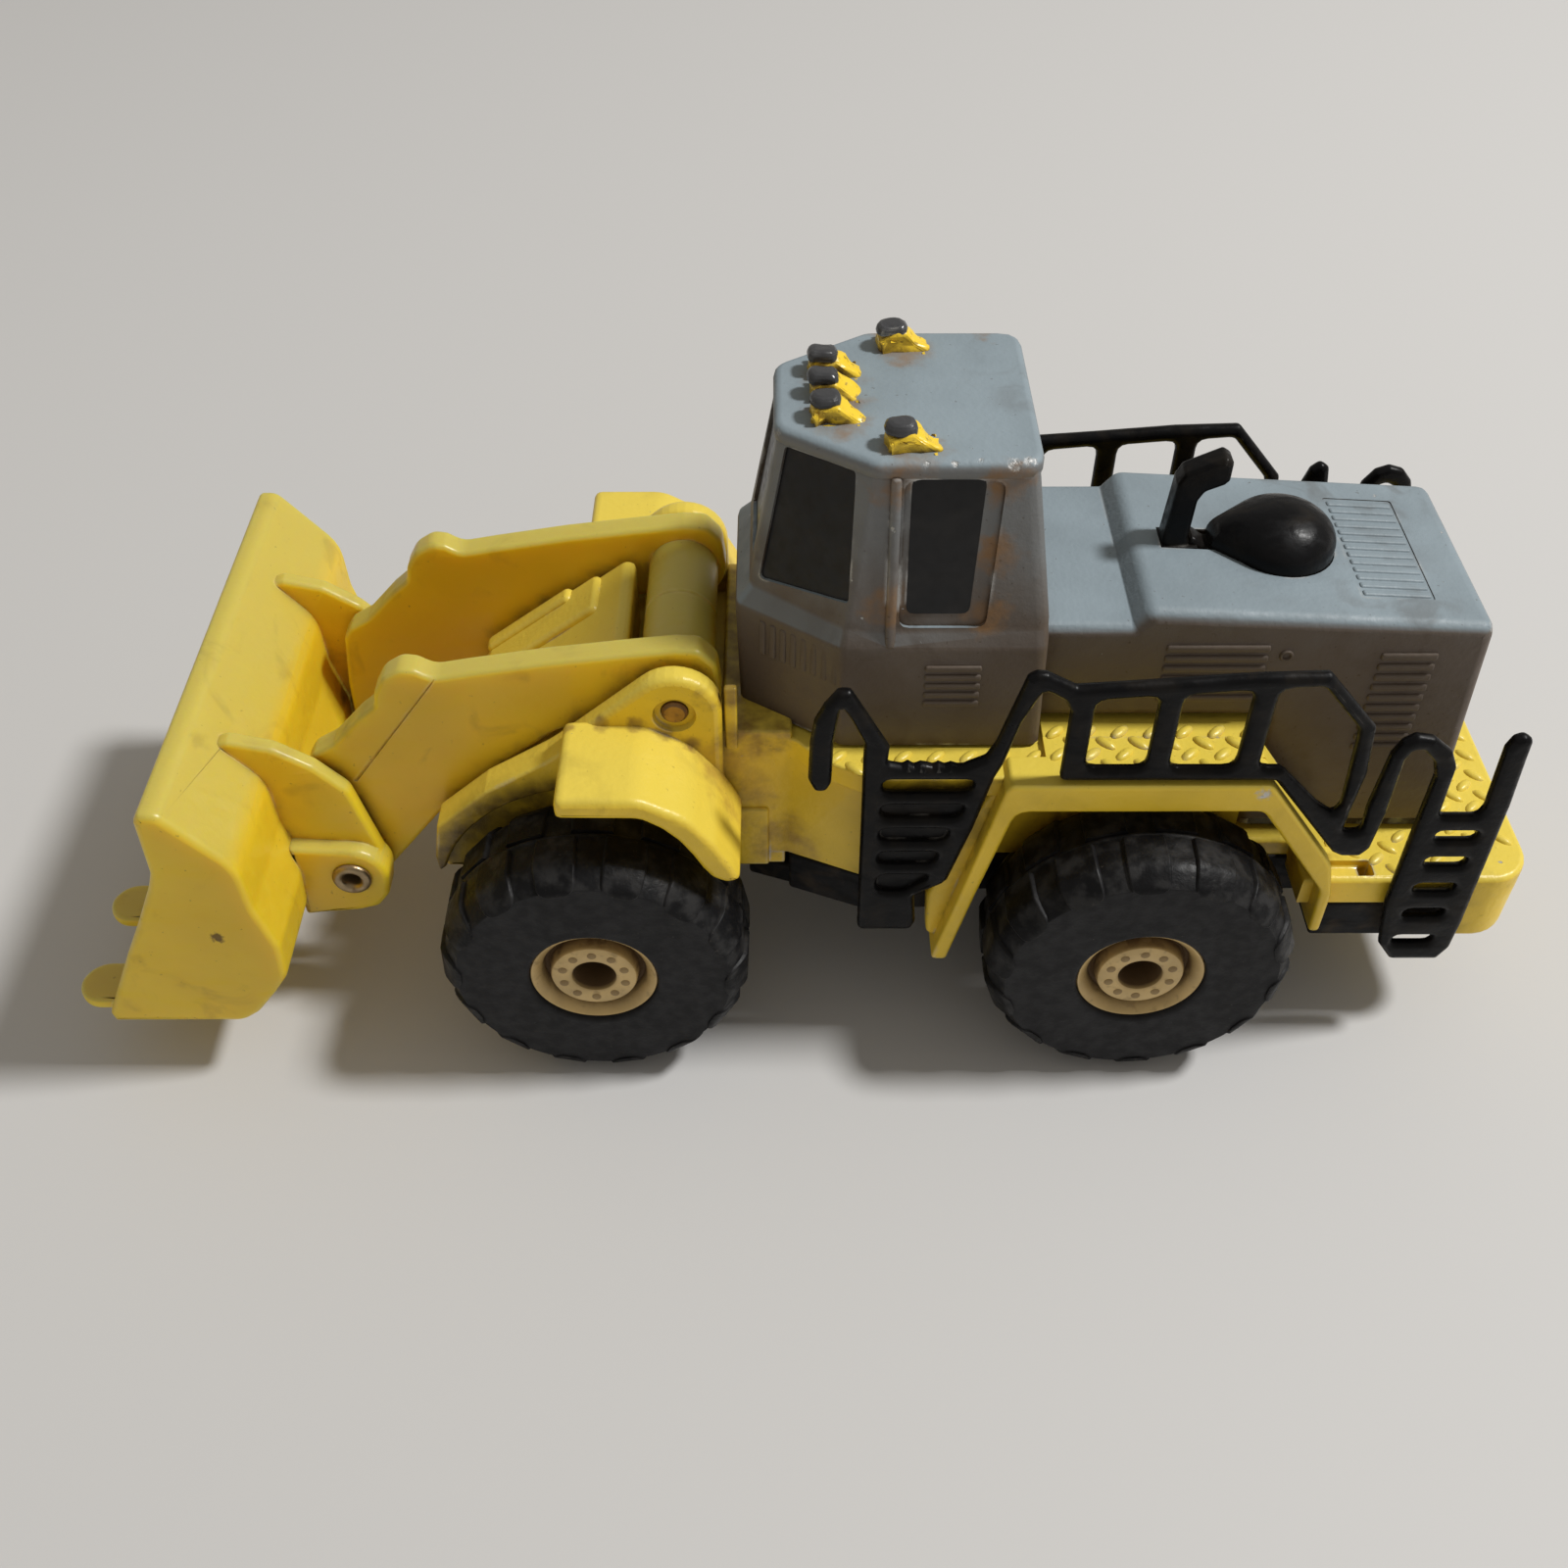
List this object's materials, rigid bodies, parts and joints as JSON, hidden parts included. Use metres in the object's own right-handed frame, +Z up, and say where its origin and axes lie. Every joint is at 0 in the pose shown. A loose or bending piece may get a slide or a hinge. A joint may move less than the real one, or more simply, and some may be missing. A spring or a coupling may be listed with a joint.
{
  "type": "toy front loader",
  "caption": "Toy wheel loader: die-cast chassis and cab, plastic lift arm and tipping bucket, railings with ladders, and wheel sets that roll freely.",
  "frame": {"origin": "on the ground plane under the centre of the toy's box", "axes": "+X towards the rear of the toy, -X towards the bucket, -Y the toy's left side, +Z up"},
  "size_m": [0.1364, 0.0492, 0.0628],
  "materials": {
    "yellow_paint": "worn warm yellow enamel with brown grime in the corners",
    "grey_paint": "worn blue-grey enamel, rubbed to bare metal at the corners",
    "yellow_plastic": "semi-gloss lemon yellow moulded plastic",
    "black_plastic": "glossy black moulded plastic with scuffs",
    "base_black": "dusty black moulded plastic",
    "window_black": "smooth black glazing moulding",
    "tyre_rubber": "matte charcoal with lugs polished by wear",
    "hub_plastic": "faded tan-yellow moulded plastic",
    "steel": "bare steel rod and screws",
    "rivet_metal": "dull eyelet rivet"
  },
  "bodies": {
    "chassis": {"chassis": "yellow_paint", "base_plate": "base_black", "cab_body": "grey_paint", "window_insert": "window_black", "exhaust_insert": "black_plastic", "railing_left": "black_plastic", "railing_right": "black_plastic", "arm_pin": "steel", "base_screw_front": "steel", "base_screw_rear": "steel"},
    "lift_arm": {"lift_arm": "yellow_plastic"},
    "bucket": {"bucket": "yellow_plastic", "bucket_rivet_left": "rivet_metal", "bucket_rivet_right": "rivet_metal"},
    "front_wheels": {"axle_front": "steel", "hub_front_left": "hub_plastic", "hub_front_right": "hub_plastic", "tyre_front_left": "tyre_rubber", "tyre_front_right": "tyre_rubber"},
    "rear_wheels": {"axle_rear": "steel", "hub_rear_left": "hub_plastic", "hub_rear_right": "hub_plastic", "tyre_rear_left": "tyre_rubber", "tyre_rear_right": "tyre_rubber"}
  },
  "joints": [
    {"name": "arm_lift", "type": "hinge", "parent": "chassis", "child": "lift_arm", "pos_m": [-0.0107, 0, 0.0368], "axis": [0, 1, 0], "range_deg": [0, 48]},
    {"name": "bucket_tip", "type": "hinge", "parent": "lift_arm", "child": "bucket", "pos_m": [-0.042, 0, 0.0169], "axis": [0, 1, 0], "range_deg": [-50, 10]},
    {"name": "front_wheels_roll", "type": "hinge", "parent": "chassis", "child": "front_wheels", "pos_m": [-0.0186, 0, 0.0142], "axis": [0, 1, 0], "continuous": true},
    {"name": "rear_wheels_roll", "type": "hinge", "parent": "chassis", "child": "rear_wheels", "pos_m": [0.0314, 0, 0.0142], "axis": [0, 1, 0], "continuous": true}
  ]
}
